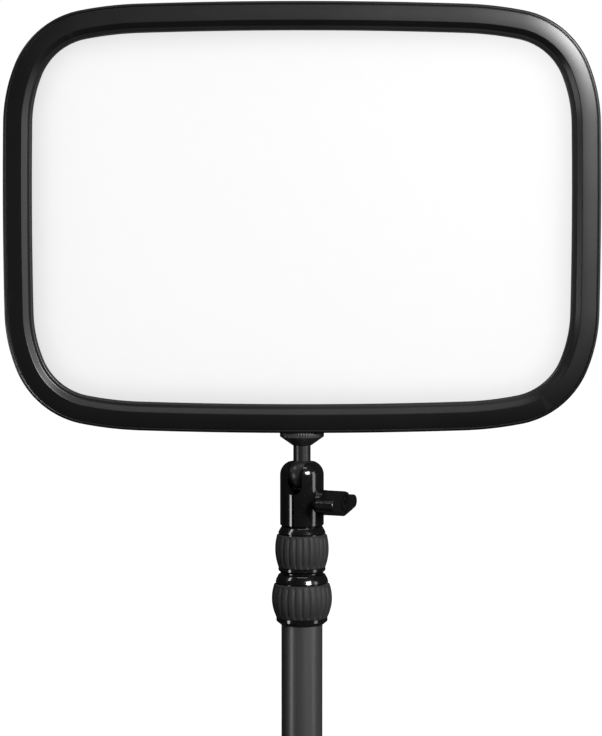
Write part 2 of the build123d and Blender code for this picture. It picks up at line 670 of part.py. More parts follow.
def make_lower_lock():
    """The twist lock between the base tube and the middle tube."""
    z = LOCK_BASE
    sleeve = 13.6
    pieces["lower_lock_ferrule"] = turned([
        (BASE_TUBE_RADIUS, z), (BASE_TUBE_RADIUS + 0.3, z), (15.25, z + 2.3), (15.25, z + 4.1),
        (sleeve, z + 4.1), (sleeve, z + 20), (BASE_TUBE_RADIUS, z + 20),
    ])
    collet = turned([
        (MID_TUBE_RADIUS + RUN, z + 22.1), (12.6, z + 22.1), (13.2, z + 24.0), (12.2, z + 27.0),
        (MID_TUBE_RADIUS + RUN, z + 27.0),
    ])
    pieces["lower_lock_collet"] = collet - block(-0.8, 0.8, 0, 20, z + 20, z + 30)
    pieces["lower_lock_collar"] = turned([
        (sleeve + RUN, z + 4.3), (14.6, z + 4.3), (14.6, z + 24.9), (15.3, z + 25.1),
        (15.7, z + 25.7), (15.2, z + 27.6), (13.9, z + 30.0), (13.4, z + 30.3),
        (MID_TUBE_RADIUS + 0.25, z + 30.3), (MID_TUBE_RADIUS + 0.25, z + 27.3), (sleeve + RUN, z + 27.3),
    ])
    sleeve_grip = grip(14.6, 15.35, 17.95, 16.55, z + 4.3, z + 14.6, z + 24.2)
    pieces["lower_lock_grip"] = ribbed(sleeve_grip, 17.95, z + 6.5, z + 23.0)


def make_upper_lock():
    """The twist lock between the middle tube and the top tube."""
    z = LOCK_BASE
    sleeve = 12.0
    pieces["upper_lock_ferrule"] = turned([
        (MID_TUBE_RADIUS, z + 30.9), (12.75, z + 30.9), (12.75, z + 31.4), (14.0, z + 32.6),
        (14.0, z + 34.2), (sleeve, z + 34.2), (sleeve, z + 50), (MID_TUBE_RADIUS, z + 50),
    ])
    collet = turned([
        (TOP_TUBE_RADIUS + RUN, z + 52.1), (10.6, z + 52.1), (11.4, z + 53.6), (10.4, z + 55.8),
        (TOP_TUBE_RADIUS + RUN, z + 55.8),
    ])
    pieces["upper_lock_collet"] = collet - block(-0.7, 0.7, 0, 20, z + 50, z + 60)
    pieces["upper_lock_collar"] = turned([
        (sleeve + RUN, z + 34.4), (13.3, z + 34.4), (13.3, z + 54.5), (13.8, z + 54.7),
        (14.1, z + 55.1), (13.4, z + 56.6), (12.3, z + 58.5), (11.9, z + 58.8),
        (TOP_TUBE_RADIUS + 0.25, z + 58.8), (TOP_TUBE_RADIUS + 0.25, z + 56.1), (sleeve + RUN, z + 56.1),
    ])
    sleeve_grip = grip(13.3, 14.1, 16.0, 14.9, z + 34.4, z + 45.1, z + 53.6)
    pieces["upper_lock_grip"] = ribbed(sleeve_grip, 16.0, z + 36.5, z + 52.5)


def make_pole():
    pieces["base_tube"] = ring(BASE_TUBE_RADIUS, BASE_TUBE_BORE, BASE_TUBE_BOTTOM, BASE_TUBE_TOP)
    pieces["mid_tube"] = tube(MID_TUBE_RADIUS, MID_TUBE_BORE, MID_TUBE_BOTTOM, MID_TUBE_TOP)
    pieces["top_tube"] = tube(TOP_TUBE_RADIUS, TOP_TUBE_BORE, TOP_TUBE_BOTTOM, TOP_TUBE_TOP)
    pieces["mid_bush"] = guide_bush(MID_TUBE_RADIUS, BASE_TUBE_BORE, MID_TUBE_RADIUS, MID_TUBE_BORE,
                                    MID_TUBE_BOTTOM, 18.0)
    pieces["top_bush"] = guide_bush(TOP_TUBE_RADIUS, MID_TUBE_BORE, TOP_TUBE_RADIUS, TOP_TUBE_BORE,
                                    TOP_TUBE_BOTTOM, 16.0)
    make_lower_lock()
    make_upper_lock()


# ---------------------------------------------------------------- desk clamp
FOOT_TOP = FOOT_BOTTOM + 34.0
BOLT_RADIUS = 4.0
BOLT_HEAD_RADIUS = 6.5
BOLT_HEAD_TOP = JAW_PAD + 8.5
FOOT_SCREW_HEIGHT = FOOT_BOTTOM + 24.0
SWIVEL_RADIUS = 20.0
SWIVEL_TOP = -DESK_GAP
HANDLE_RADIUS = 23.0


def clamp_frame():
    """The C-shaped frame: upper jaw, spine and lower jaw with the screw's boss."""
    profile = Polyline(
        (JAW_FRONT, JAW_PAD), (SPINE_INSIDE, JAW_PAD), (SPINE_INSIDE, LOWER_JAW_TOP),
        (-18, LOWER_JAW_TOP), (-18, LOWER_JAW_BOTTOM), (SPINE_OUTSIDE, LOWER_JAW_BOTTOM),
        (SPINE_OUTSIDE, UPPER_JAW_TOP), (JAW_FRONT, UPPER_JAW_TOP), close=True)
    face = Plane.YZ * make_face(profile)
    frame = Pos(-JAW_HALF_WIDTH, 0, 0) * extrude(face, amount=2 * JAW_HALF_WIDTH)
    corners = frame.edges().filter_by(Axis.X)
    outer = corners.filter_by(lambda edge: edge.center().Y > SPINE_OUTSIDE - 1)
    frame = fillet(outer, 9.0)
    inner = frame.edges().filter_by(Axis.X).filter_by(
        lambda edge: abs(edge.center().Y - SPINE_INSIDE) < 0.1 and edge.center().Z < 0)
    frame = fillet(inner, 5.0)
    front = frame.edges().filter_by(Axis.Z).filter_by(lambda edge: edge.center().Y < 0)
    frame = fillet(front, 10.0)
    for side in (-1, 1):
        frame -= block(side * JAW_HALF_WIDTH - 3, side * JAW_HALF_WIDTH + 3,
                       SPINE_INSIDE + 4.5, SPINE_OUTSIDE - 4.5, LOWER_JAW_TOP + 4, -4)
    frame += rod(13.0, CLAMP_BOSS_BOTTOM, LOWER_JAW_TOP + 2)
    frame -= rod(CLAMP_SCREW_RADIUS + RUN, CLAMP_BOSS_BOTTOM - 1, LOWER_JAW_TOP + 3)
    frame -= rod(BOLT_RADIUS + 0.1, 0, UPPER_JAW_TOP + 1)
    return frame - rod(BOLT_HEAD_RADIUS + 0.2, 0, BOLT_HEAD_TOP)


def jaw_pad():
    """The rubber sheet under the upper jaw. Its underside is on the desk."""
    pad = block(-JAW_HALF_WIDTH + 1.5, JAW_HALF_WIDTH - 1.5, JAW_FRONT + 1.5, SPINE_INSIDE - 1, 0, JAW_PAD)
    return fillet(pad.edges().filter_by(Axis.Z), 8.0)


def pole_foot():
    """A turned foot that the base tube stands in."""
    z = FOOT_BOTTOM
    foot = turned([
        (0, z), (20, z), (20, z + 3), (19, z + 4), (17.6, z + 5.5), (17.0, z + 9),
        (17.0, FOOT_TOP - 1.5), (15.5, FOOT_TOP), (BASE_TUBE_RADIUS, FOOT_TOP),
        (BASE_TUBE_RADIUS, BASE_TUBE_BOTTOM), (0, BASE_TUBE_BOTTOM),
    ])
    foot -= rod(BOLT_RADIUS, z - 1, BASE_TUBE_BOTTOM + 1)
    for turn in (45, 135):
        foot -= Rot(0, 0, turn) * side_rod(2.0, BASE_TUBE_RADIUS - 1, 20, FOOT_SCREW_HEIGHT)
    return foot


def foot_screws():
    """Two set screws with hexagon sockets that hold the base tube."""
    socket = Pos(15.6, 0, FOOT_SCREW_HEIGHT) * Rot(0, 90, 0) * extrude(
        RegularPolygon(1.0, 6, major_radius=False), amount=4.0)
    screw = side_rod(2.0, BASE_TUBE_RADIUS, 16.8, FOOT_SCREW_HEIGHT) - socket
    return group(Rot(0, 0, turn) * screw for turn in (45, 135))


def pole_bolt():
    """The bolt from under the upper jaw into the pole's foot."""
    low = JAW_PAD + 0.4
    bolt = rod(BOLT_HEAD_RADIUS, low, BOLT_HEAD_TOP)
    bolt += rod(BOLT_RADIUS, BOLT_HEAD_TOP, BASE_TUBE_BOTTOM - 1)
    socket = Pos(0, 0, low - 0.1) * extrude(RegularPolygon(3.0, 6, major_radius=False), amount=4.0)
    return bolt - socket


def clamp_screw():
    """The clamp's screw with the turned neck that carries the swivel pad."""
    top = SWIVEL_TOP - 5.2
    return turned([
        (0, top), (4.6, top), (4.6, top - 3.0), (3.6, top - 3.0), (3.6, top - 7.4),
        (CLAMP_SCREW_RADIUS, top - 8.6), (CLAMP_SCREW_RADIUS, HANDLE_TOP), (5.0, HANDLE_TOP),
        (5.0, HANDLE_TOP - 14), (0, HANDLE_TOP - 14),
    ])


def swivel_pad():
    """The metal pad that turns freely on the screw's neck."""
    top = SWIVEL_TOP - 2.0
    neck = SWIVEL_TOP - 8.3
    return turned([
        (0, top), (SWIVEL_RADIUS - 0.8, top), (SWIVEL_RADIUS, top - 0.8),
        (SWIVEL_RADIUS, top - 2.4), (10.0, top - 4.4), (8.6, neck - 2.4), (3.6 + RUN, neck - 2.4),
        (3.6 + RUN, neck), (4.6 + RUN, neck), (4.6 + RUN, SWIVEL_TOP - 5.1), (0, SWIVEL_TOP - 5.1),
    ])


def swivel_rubber():
    """The rubber face on the swivel pad."""
    return ring(SWIVEL_RADIUS - 1.0, 3.0, SWIVEL_TOP - 2.0, SWIVEL_TOP)


def clamp_handle():
    """A five-lobed hand knob on the end of the clamp's screw."""
    high = 20.0
    body = extrude(Circle(HANDLE_RADIUS), amount=high)
    for lobe in range(5):
        scoop = Rot(0, 0, 72 * lobe) * Pos(HANDLE_RADIUS + 5.5, 0, high / 2) * Cylinder(11, high + 2)
        body -= scoop
    body = fillet(body.edges().filter_by(Axis.Z), 2.5)
    body = fillet(body.faces().sort_by(Axis.Z)[0].outer_wire().edges(), 1.5)
    body += Pos(0, 0, high + 1) * Cylinder(9.5, 4)
    placed = Pos(0, 0, HANDLE_TOP - high - 3) * body
    return placed - rod(5.0, HANDLE_TOP - 14, HANDLE_TOP + 3)


def make_clamp():
    pieces["clamp_frame"] = clamp_frame()
    pieces["jaw_pad"] = jaw_pad()
    pieces["pole_foot"] = pole_foot()
    pieces["foot_screws"] = foot_screws()
    pieces["pole_bolt"] = pole_bolt()
    pieces["clamp_screw"] = clamp_screw()
    pieces["swivel_pad"] = swivel_pad()
    pieces["swivel_rubber"] = swivel_rubber()
    pieces["clamp_handle"] = clamp_handle()


# ---------------------------------------------------------------- the whole light
make_panel()
make_head()
make_pole()
make_clamp()
os.makedirs("parts", exist_ok=True)
for name, piece in pieces.items():
    export_step(piece, f"parts/{name}.step")
print(len(pieces), "sub-parts")
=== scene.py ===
"""An LED panel light on a ball head, a telescopic pole and a desk clamp.

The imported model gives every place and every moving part. This script gives the light its looks:
smooth surfaces for the parts that show, a worked finish for each material, a studio and a camera.
"""

import json
import logging
import math
from dataclasses import dataclass, field
from enum import Enum
from typing import Any, Optional, Sequence

import bmesh
import bpy
import numpy as np
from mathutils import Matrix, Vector

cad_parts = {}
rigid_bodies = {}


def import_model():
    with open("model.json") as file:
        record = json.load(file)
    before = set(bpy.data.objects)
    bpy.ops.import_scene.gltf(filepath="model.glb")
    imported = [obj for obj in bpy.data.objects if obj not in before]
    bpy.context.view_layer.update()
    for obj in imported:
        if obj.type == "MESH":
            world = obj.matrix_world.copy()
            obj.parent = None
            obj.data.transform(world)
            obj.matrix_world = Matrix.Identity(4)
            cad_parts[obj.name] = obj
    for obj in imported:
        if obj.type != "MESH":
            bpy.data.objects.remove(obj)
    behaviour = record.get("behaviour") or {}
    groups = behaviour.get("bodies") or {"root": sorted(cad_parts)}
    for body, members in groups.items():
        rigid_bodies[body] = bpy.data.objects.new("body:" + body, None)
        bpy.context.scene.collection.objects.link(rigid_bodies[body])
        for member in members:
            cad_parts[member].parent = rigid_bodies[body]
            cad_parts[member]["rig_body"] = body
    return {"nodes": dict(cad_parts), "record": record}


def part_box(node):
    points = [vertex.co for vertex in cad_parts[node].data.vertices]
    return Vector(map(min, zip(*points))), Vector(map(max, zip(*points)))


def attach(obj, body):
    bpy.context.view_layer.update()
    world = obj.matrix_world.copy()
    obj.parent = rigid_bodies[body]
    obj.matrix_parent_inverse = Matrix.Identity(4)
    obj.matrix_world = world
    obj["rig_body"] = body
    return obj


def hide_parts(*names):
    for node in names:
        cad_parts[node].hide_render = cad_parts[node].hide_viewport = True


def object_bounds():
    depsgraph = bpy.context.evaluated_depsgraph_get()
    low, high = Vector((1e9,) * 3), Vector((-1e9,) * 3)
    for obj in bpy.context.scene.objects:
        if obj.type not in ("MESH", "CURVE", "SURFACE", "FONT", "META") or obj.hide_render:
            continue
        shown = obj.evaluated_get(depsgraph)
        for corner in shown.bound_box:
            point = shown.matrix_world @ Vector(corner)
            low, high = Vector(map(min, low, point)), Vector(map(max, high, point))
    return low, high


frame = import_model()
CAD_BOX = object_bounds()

log = logging.getLogger("panel_light")
MM = 0.001


# ------------------------------------------------------------------ surfaces
def soften(corners: Sequence[Sequence[float]], reach: float, steps: int = 4) -> np.ndarray:
    """Rounds every corner of a closed profile.

    A corner P becomes the parabola (1-t)^2 A + 2t(1-t) P + t^2 B, where A and B lie on the two
    edges at P, each a distance reach away, or 0.45 of the edge where that is less.

    Args:
        corners: the profile's corners in order, as pairs.
        reach: how far from the corner the rounding starts.
        steps: points on each rounded corner.

    Returns:
        An array of points, steps for each corner.
    """
    here = np.asarray(corners, float)
    before, after = np.roll(here, 1, 0) - here, np.roll(here, -1, 0) - here
    long_before = np.linalg.norm(before, axis=1, keepdims=True)
    long_after = np.linalg.norm(after, axis=1, keepdims=True)
    first = here + before / long_before * np.minimum(reach, 0.45 * long_before)
    last = here + after / long_after * np.minimum(reach, 0.45 * long_after)
    t = np.linspace(0, 1, steps)[None, :, None]
    curve = (1 - t) ** 2 * first[:, None] + 2 * t * (1 - t) * here[:, None] + t**2 * last[:, None]
    return curve.reshape(-1, 2)


def around(radius: np.ndarray, height: np.ndarray, angle: np.ndarray) -> np.ndarray:
    """Points round the pole's axis: (r cos a, r sin a, h).

    Args:
        radius: distances from the axis, with one row for each height. They may vary with the angle.
        height: heights, one for each row.
        angle: the angle of each column.

    Returns:
        An array of rows, columns and three coordinates.
    """
    shape = (len(radius), len(angle))
    across, along = radius * np.cos(angle), radius * np.sin(angle)
    return np.stack([across, along, np.broadcast_to(height, shape)], axis=-1)


def full_turn(steps: int) -> np.ndarray:
    """Angles in equal steps over one turn, without the last."""
    return np.linspace(0, 2 * math.pi, steps, endpoint=False)


def turned(profile: np.ndarray, steps: int) -> np.ndarray:
    """Carries a profile round the pole's axis.

    Args:
        profile: pairs of radius and height.
        steps: points round the axis.

    Returns:
        Points with one row for each pair and one column for each angle.
    """
    return around(profile[:, :1], profile[:, 1:], full_turn(steps))


def thread_wave(level: np.ndarray, pitch: float, share: np.ndarray) -> np.ndarray:
    """A screw's triangle wave, 0 on its crest and 1 in its root.

    Args:
        level: heights, one for each row.
        pitch: height of one turn of the thread.
        share: the share of a turn of each column.

    Returns:
        The wave at each row and column.
    """
    return np.abs(((level[:, None] / pitch - share) % 1.0) * 2 - 1)


def mesh_from_grid(name: str, points: np.ndarray, ring: bool = False, caps: bool = False) -> bpy.types.Object:
    """Makes a closed mesh from rows of points, where each row runs round a loop.

    Args:
        name: the new object's name.
        points: an array of rows, columns and three coordinates.
        ring: the last row joins the first, as on a frame.
        caps: the first and last rows are closed with a fan to their middle.

    Returns:
        The new object, with its faces pointing outwards.
    """
    rows, columns = points.shape[:2]
    row = np.arange(rows if ring else rows - 1)[:, None]
    column = np.arange(columns)[None, :]
    below, above = row * columns, ((row + 1) % rows) * columns
    right = (column + 1) % columns
    quads = np.stack([below + column, below + right, above + right, above + column], -1).reshape(-1, 4)
    vertices = points.reshape(-1, 3)
    triangles = np.empty((0, 3), int)
    if caps:
        middle = np.stack([points[0].mean(0), points[-1].mean(0)])
        low, high = len(vertices), len(vertices) + 1
        vertices = np.concatenate([vertices, middle])
        first, last = column[0], (rows - 1) * columns + column[0]
        next_first, next_last = right[0], (rows - 1) * columns + right[0]
        triangles = np.concatenate([
            np.stack([next_first, first, np.full(columns, low)], -1),
            np.stack([last, next_last, np.full(columns, high)], -1)])
    halves = np.concatenate([quads[:, [0, 1, 2]], quads[:, [0, 2, 3]], triangles])
    corner = vertices[halves]
    volume = np.einsum("ij,ij->i", corner[:, 0], np.cross(corner[:, 1], corner[:, 2])).sum()
    faces = [*quads.tolist(), *triangles.tolist()]
    if volume < 0:
        faces = [face[::-1] for face in faces]
    mesh = bpy.data.meshes.new(name)
    mesh.from_pydata(vertices.tolist(), [], faces)
    return finished(name, mesh)


def finished(name: str, mesh: bpy.types.Mesh, sharp_above: float = 32.0) -> bpy.types.Object:
    """Shades a mesh smooth except over sharp edges and links it as an object.

    Args:
        name: the new object's name.
        mesh: the mesh, in its final place.
        sharp_above: edges that bend by more than this many degrees stay sharp.

    Returns:
        The new object at the origin.
    """
    mesh.shade_smooth()
    mesh.set_sharp_from_angle(angle=math.radians(sharp_above))
    made = bpy.data.objects.new(name, mesh)
    bpy.context.scene.collection.objects.link(made)
    return made


def smooth_copy(node: str, name: str, sharp_above: float = 32.0) -> bpy.types.Object:
    """Copies a CAD node with its doubled points merged, so that it shades smoothly.

    Args:
        node: the CAD node to copy.
        name: the new object's name.
        sharp_above: edges that bend by more than this many degrees stay sharp.

    Returns:
        The new object.
    """
    copy = frame["nodes"][node].data.copy()
    edit = bmesh.new()
    edit.from_mesh(copy)
    bmesh.ops.remove_doubles(edit, verts=edit.verts, dist=1e-6)
    edit.to_mesh(copy)
    edit.free()
    copy.materials.clear()
    if "custom_normal" in copy.attributes:
        copy.attributes.remove(copy.attributes["custom_normal"])
    made = finished(name, copy, sharp_above)
    even = made.modifiers.new("even_shading", "WEIGHTED_NORMAL")
    even.keep_sharp, even.weight = True, 95
    return made


# ------------------------------------------------------------------ shader maths
class Signal:
    """A number or colour on its way through a material, with arithmetic."""

    def __init__(self, tree: "Tree", socket: Any) -> None:
        """Wraps one output socket of a tree."""
        self.tree = tree
        self.socket = socket

    def _math(self, operation: str, *values: Any, clamp: bool = False) -> "Signal":
        """Adds one Math node.

        Args:
            operation: what it works out.
            values: its inputs in order.
            clamp: True to keep the result from 0 to 1.

        Returns:
            The result.
        """
        node = self.tree.node("ShaderNodeMath", {"operation": operation, "use_clamp": clamp},
                              dict(enumerate(values)))
        return Signal(self.tree, node.outputs[0])

    def __add__(self, other: Any) -> "Signal":
        """Sum."""
        return self._math("ADD", self, other)

    __radd__ = __add__

    def __sub__(self, other: Any) -> "Signal":
        """Difference."""
        return self._math("SUBTRACT", self, other)

    def __rsub__(self, other: Any) -> "Signal":
        """Difference, with the number first."""
        return self._math("SUBTRACT", other, self)

    def __mul__(self, other: Any) -> "Signal":
        """Product."""
        return self._math("MULTIPLY", self, other)

    __rmul__ = __mul__

    def clamped(self) -> "Signal":
        """The value kept from 0 to 1."""
        return self._math("MULTIPLY", self, 1.0, clamp=True)

    def smoothstep(self, low: float, high: float) -> "Signal":
        """0 below low, 1 above high, and an S-shaped ramp between."""
        node = self.tree.node("ShaderNodeMapRange", {"interpolation_type": "SMOOTHSTEP"},
                              {0: self, 1: low, 2: high, 3: 0.0, 4: 1.0})
        return Signal(self.tree, node.outputs[0])


class Tree:
    """The node tree of one material."""

    def __init__(self, name: str) -> None:
        """Starts an empty material with one surface shader."""
        self.material = bpy.data.materials.new(name)
        self.material.use_nodes = True
        self.tree = self.material.node_tree
        self.tree.nodes.clear()
        self.output = self.tree.nodes.new("ShaderNodeOutputMaterial")
        self.shader = self.tree.nodes.new("ShaderNodeBsdfPrincipled")
        self.tree.links.new(self.shader.outputs[0], self.output.inputs["Surface"])

    def node(self, kind: str, settings: Optional[dict] = None, inputs: Optional[dict] = None) -> Any:
        """Adds a node.

        Args:
            kind: the node's type.
            settings: its properties, set before its sockets.
            inputs: values, signals or sockets by socket name or number.

        Returns:
            The new node.
        """
        made = self.tree.nodes.new(kind)
        for key, value in (settings or {}).items():
            setattr(made, key, value)
        for key, value in (inputs or {}).items():
            self.feed(made.inputs[key], value)
        return made

    def feed(self, socket: Any, value: Any) -> None:
        """Links a signal or socket to a socket, or sets a plain value on it."""
        if isinstance(value, Signal):
            self.tree.links.new(value.socket, socket)
        elif isinstance(value, bpy.types.NodeSocket):
            self.tree.links.new(value, socket)
        else:
            socket.default_value = value

    def place(self, scale: Sequence[float]) -> Any:
        """The point on the piece, in metres, times one factor for each axis, as a vector socket."""
        where = self.node("ShaderNodeTexCoord").outputs["Object"]
        return self.node("ShaderNodeMapping", {}, {"Vector": where, "Scale": scale}).outputs[0]

    def noise(self, scale: float, detail: float = 3.0, rough: float = 0.5,
              stretch: Sequence[float] = (1, 1, 1)) -> Signal:
        """Smooth noise from 0 to 1.

        Args:
            scale: cells in a metre.
            detail: octaves.
            rough: how strong the fine octaves are.
            stretch: a factor on the scale for each axis.

        Returns:
            The noise.
        """
        made = self.node("ShaderNodeTexNoise", {"noise_dimensions": "3D"},
                         {"Vector": self.place(stretch), "Scale": scale, "Detail": detail,
                          "Roughness": rough})
        return Signal(self, made.outputs[0])

    def cells(self, scale: float, stretch: Sequence[float] = (1, 1, 1)) -> Signal:
        """Distance to the nearest of scattered points, for specks and tracks.

        Args:
            scale: cells in a metre.
            stretch: a factor on the scale for each axis.

        Returns:
            The distance, in cells.
        """
        made = self.node("ShaderNodeTexVoronoi", {"voronoi_dimensions": "3D", "feature": "F1"},
                         {"Vector": self.place(stretch), "Scale": scale})
        return Signal(self, made.outputs["Distance"])

    def edge_wear(self) -> Signal:
        """Near 1 on outward edges and 0.5 on flats."""
        return Signal(self, self.node("ShaderNodeNewGeometry").outputs["Pointiness"])

    def blend(self, share: Any, first: Sequence[float], second: Sequence[float]) -> Any:
        """A colour between two colours.

        Args:
            share: how much of the second colour.
            first: a colour.
            second: a colour.

        Returns:
            The mixed colour's socket.
        """
        made = self.node("ShaderNodeMix", {"data_type": "RGBA"})
        self.feed(made.inputs[0], share)
        self.feed(made.inputs[6], (*first, 1.0) if isinstance(first, tuple) else first)
        self.feed(made.inputs[7], (*second, 1.0) if isinstance(second, tuple) else second)
        return made.outputs[2]

    def bump(self, height: Any, depth: float, strength: float) -> Any:
        """A bumped normal.

        Args:
            height: the height map, from 0 to 1.
            depth: how far it stands out, in metres.
            strength: how much of it shows.

        Returns:
            The normal's socket.
        """
        inputs = {"Height": height, "Distance": depth, "Strength": strength}
        return self.node("ShaderNodeBump", {}, inputs).outputs[0]

    def shade(self, **sockets: Any) -> bpy.types.Material:
        """Finishes the material.

        Args:
            sockets: what the surface shader's sockets get, with underscores for their spaces.

        Returns:
            The material.
        """
        for key, value in sockets.items():
            self.feed(self.shader.inputs[key.replace("_", " ")], value)
        return self.material


# ------------------------------------------------------------------ finishes
@dataclass(frozen=True)
class SatinBlack:
    """Moulded or painted black with a fine, even grain.

    Attributes:
        name: the finish's name.
        tone: brightness of the colour.
        roughness: how matte it is.
        grain: grain cells in a metre.
        depth: height of the grain in metres.
        coat: share of a thin clear layer on top.
    """

    name: str
    tone: float = 0.012
    roughness: float = 0.42
    grain: float = 2600.0
    depth: float = 0.00002
    coat: float = 0.0

    def material(self) -> bpy.types.Material:
        """Fine grain in the bump and the gloss, slow cloudiness, and paler outward edges."""
        tree = Tree(self.name)
        grain = tree.noise(self.grain, 2.0, 0.6)
        cloud = tree.noise(22.0, 3.0, 0.55)
        scuff = tree.noise(95.0, 4.0, 0.7, (1.0, 1.0, 0.35)).smoothstep(0.62, 0.8)
        worn = tree.edge_wear().smoothstep(0.54, 0.62)
        share = (worn * 0.5 + cloud * 0.25 + scuff * 0.12).clamped()
        dark, pale = (self.tone,) * 3, (*(self.tone * 2.4 + 0.004,) * 2, self.tone * 2.5 + 0.004)
        rough = (self.roughness - 0.05 + grain * 0.06 + cloud * 0.05 + scuff * 0.06).clamped()
        return tree.shade(Base_Color=tree.blend(share, dark, pale), Roughness=rough,
                          Normal=tree.bump(grain, self.depth, 0.6), Coat_Weight=self.coat,
                          Coat_Roughness=0.2)


@dataclass(frozen=True)
class GlossBlack:
    """A polished black skin with faint flow ripples and a little dust.

    Attributes:
        name: the finish's name.
        tone: brightness of the colour.
        roughness: how matte it is.
        ripple: ripples in a metre.
    """

    name: str
    tone: float = 0.006
    roughness: float = 0.13
    ripple: float = 140.0

    def material(self) -> bpy.types.Material:
        """Long ripples in the bump, specks of dust in colour and gloss."""
        tree = Tree(self.name)
        ripple = tree.noise(self.ripple, 2.0, 0.4, (1.0, 1.0, 0.25))
        dust = 1.0 - tree.cells(700.0).smoothstep(0.06, 0.16)
        film = tree.noise(60.0, 4.0, 0.6)
        colour = tree.blend((dust * 0.25 + film * 0.1).clamped(), (self.tone,) * 3, (0.03, 0.03, 0.029))
        rough = (self.roughness + dust * 0.25 + film * 0.06).clamped()
        return tree.shade(Base_Color=colour, Roughness=rough,
                          Normal=tree.bump(ripple, 0.00004, 0.35), Coat_Weight=0.35, Coat_Roughness=0.06)


@dataclass(frozen=True)
class Rubber:
    """Soft matte rubber that holds a little dust in its hollows.

    Attributes:
        name: the finish's name.
        tone: brightness of the colour.
    """

    name: str
    tone: float = 0.007

    def material(self) -> bpy.types.Material:
        """Fine pores in the bump, dust where the surface turns in."""
        tree = Tree(self.name)
        pores = tree.noise(3200.0, 3.0, 0.7)
        patches = tree.noise(160.0, 4.0, 0.65)
        hollow = 1.0 - tree.edge_wear().smoothstep(0.44, 0.5)
        share = (hollow * 0.35 + patches * 0.3).clamped()
        colour = tree.blend(share, (self.tone,) * 3, (0.024, 0.0235, 0.0225))
        rough = (0.55 + patches * 0.2 + pores * 0.08).clamped()
        return tree.shade(Base_Color=colour, Roughness=rough, Normal=tree.bump(pores, 0.00003, 0.7),
                          Sheen_Weight=0.04, Sheen_Roughness=0.5)


@dataclass(frozen=True)
class DrawnTube:
    """Black anodised tube with fine lines drawn along its length.

    Attributes:
        name: the finish's name.
        tone: brightness of the colour.
        roughness: how matte it is.
    """

    name: str
    tone: float = 0.014
    roughness: float = 0.3

    def material(self) -> bpy.types.Material:
        """Long streaks in gloss and bump, and faint rings where a lock has gripped it."""
        tree = Tree(self.name)
        streak = tree.noise(1500.0, 3.0, 0.6, (1.0, 1.0, 0.012))
        cloud = tree.noise(40.0, 3.0, 0.6, (1.0, 1.0, 0.2))
        ring = tree.noise(420.0, 2.0, 0.6, (0.02, 0.02, 1.0)).smoothstep(0.66, 0.8)
        worn = tree.edge_wear().smoothstep(0.54, 0.62)
        share = (streak * 0.25 + ring * 0.2 + worn * 0.5).clamped()
        colour = tree.blend(share, (self.tone,) * 3, (0.07, 0.07, 0.073))
        rough = (self.roughness + streak * 0.12 - ring * 0.06 + cloud * 0.05).clamped()
        return tree.shade(Base_Color=colour, Roughness=rough, Metallic=0.35,
                          Normal=tree.bump(streak, 0.00001, 0.5), Coat_Weight=0.2, Coat_Roughness=0.25)


@dataclass(frozen=True)
class BareMetal:
    """Turned or milled metal.

    Attributes:
        name: the finish's name.
        colour: the metal's colour.
        roughness: how matte it is.
        lathe: True for rings about the pole's axis, False for lines along X.
    """

    name: str
    colour: tuple[float, float, float] = (0.62, 0.62, 0.63)
    roughness: float = 0.28
    lathe: bool = False

    def material(self) -> bpy.types.Material:
        """Tool marks in gloss and bump with small stains."""
        tree = Tree(self.name)
        stretch = (0.05, 0.05, 1.0) if self.lathe else (0.03, 1.0, 1.0)
        marks = tree.noise(2400.0, 2.0, 0.6, stretch)
        stain = tree.noise(130.0, 4.0, 0.65).smoothstep(0.55, 0.8)
        dull = tuple(part * 0.55 for part in self.colour)
        colour = tree.blend((stain * 0.5 + marks * 0.2).clamped(), self.colour, dull)
        rough = (self.roughness + marks * 0.14 + stain * 0.16).clamped()
        return tree.shade(Base_Color=colour, Roughness=rough, Metallic=1.0,
                          Normal=tree.bump(marks, 0.00001, 0.5))


@dataclass(frozen=True)
class PaleMoulding:
    """White or tinted plastic, for parts inside the panel.

    Attributes:
        name: the finish's name.
        colour: the plastic's colour.
        roughness: how matte it is.
    """

    name: str
    colour: tuple[float, float, float] = (0.82, 0.82, 0.8)
    roughness: float = 0.5

    def material(self) -> bpy.types.Material:
        """Slow tint changes and a fine moulded grain."""
        tree = Tree(self.name)
        grain = tree.noise(1800.0, 2.0, 0.5)
        cloud = tree.noise(45.0, 3.0, 0.6)
        shade = tuple(part * 0.86 for part in self.colour)
        return tree.shade(Base_Color=tree.blend(cloud, self.colour, shade),
                          Roughness=(self.roughness + grain * 0.1).clamped(),
                          Normal=tree.bump(grain, 0.00001, 0.4))


@dataclass(frozen=True)
class CircuitBoard:
    """Solder mask over copper tracks.

    Attributes:
        name: the finish's name.
        mask: the solder mask's colour.
    """

    name: str
    mask: tuple[float, float, float] = (0.01, 0.07, 0.03)

    def material(self) -> bpy.types.Material:
        """Straight tracks from stretched cells, raised a little under the mask."""
        tree = Tree(self.name)
        track = tree.cells(260.0, (1.0, 1.0, 0.12)).smoothstep(0.28, 0.36)
        copper = tuple(0.5 * part + 0.06 for part in self.mask)
        return tree.shade(Base_Color=tree.blend(track, copper, self.mask), Roughness=(0.3 + track * 0.15),
                          Normal=tree.bump(track, 0.00003, 0.5))


